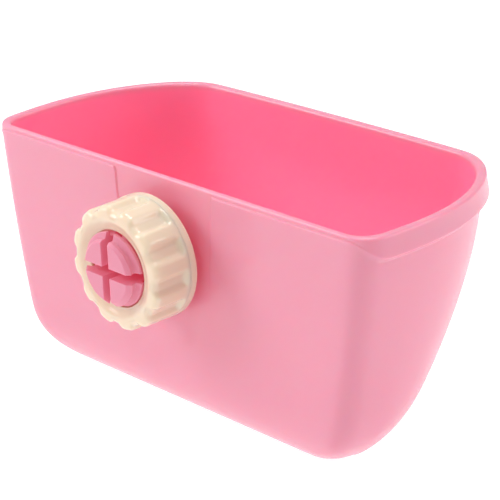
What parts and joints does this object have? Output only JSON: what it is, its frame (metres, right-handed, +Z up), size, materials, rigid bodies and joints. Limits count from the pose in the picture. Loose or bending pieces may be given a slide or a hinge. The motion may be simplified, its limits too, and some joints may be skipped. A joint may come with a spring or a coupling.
{
  "type": "clip-on cage feeding trough",
  "caption": "Open scoop-shaped plastic feeding bowl with a flat back, clamped to cage wires by a split threaded stud and a grooved hand nut with a pressure ring.",
  "frame": {"origin": "on the stud's axis, in the outer plane of the bowl's back wall, where the cage wires are clamped", "axes": "+Z up to the rim, -Y out of the cage towards the hand nut, +Y into the bowl, +X along the back wall"},
  "size_m": [0.166, 0.0985, 0.0785],
  "materials": {
    "bowl_plastic": "glossy injection-moulded pink polypropylene, slightly translucent",
    "stud_plastic": "satin injection-moulded pink polypropylene",
    "nut_plastic": "glossy cream plastic with soft moulded edges"
  },
  "bodies": {
    "feeder": {"feeder_bowl": "bowl_plastic", "split_stud": "stud_plastic"},
    "ring": {"pressure_ring": "nut_plastic"},
    "nut": {"clamp_nut": "nut_plastic"}
  },
  "joints": [
    {"name": "ring_travel", "type": "slide", "parent": "feeder", "child": "ring", "axis": [0, -1, 0], "range_m": [-0.0043, 0.0161]},
    {"name": "nut_turn", "type": "hinge", "parent": "ring", "child": "nut", "pos_m": [0, 0, 0], "axis": [0, -1, 0], "range_deg": [-420, 1600]}
  ],
  "couplings": [
    {"joint": "ring_travel", "follows": "nut_turn", "m_per_rad": 0.00057296}
  ]
}
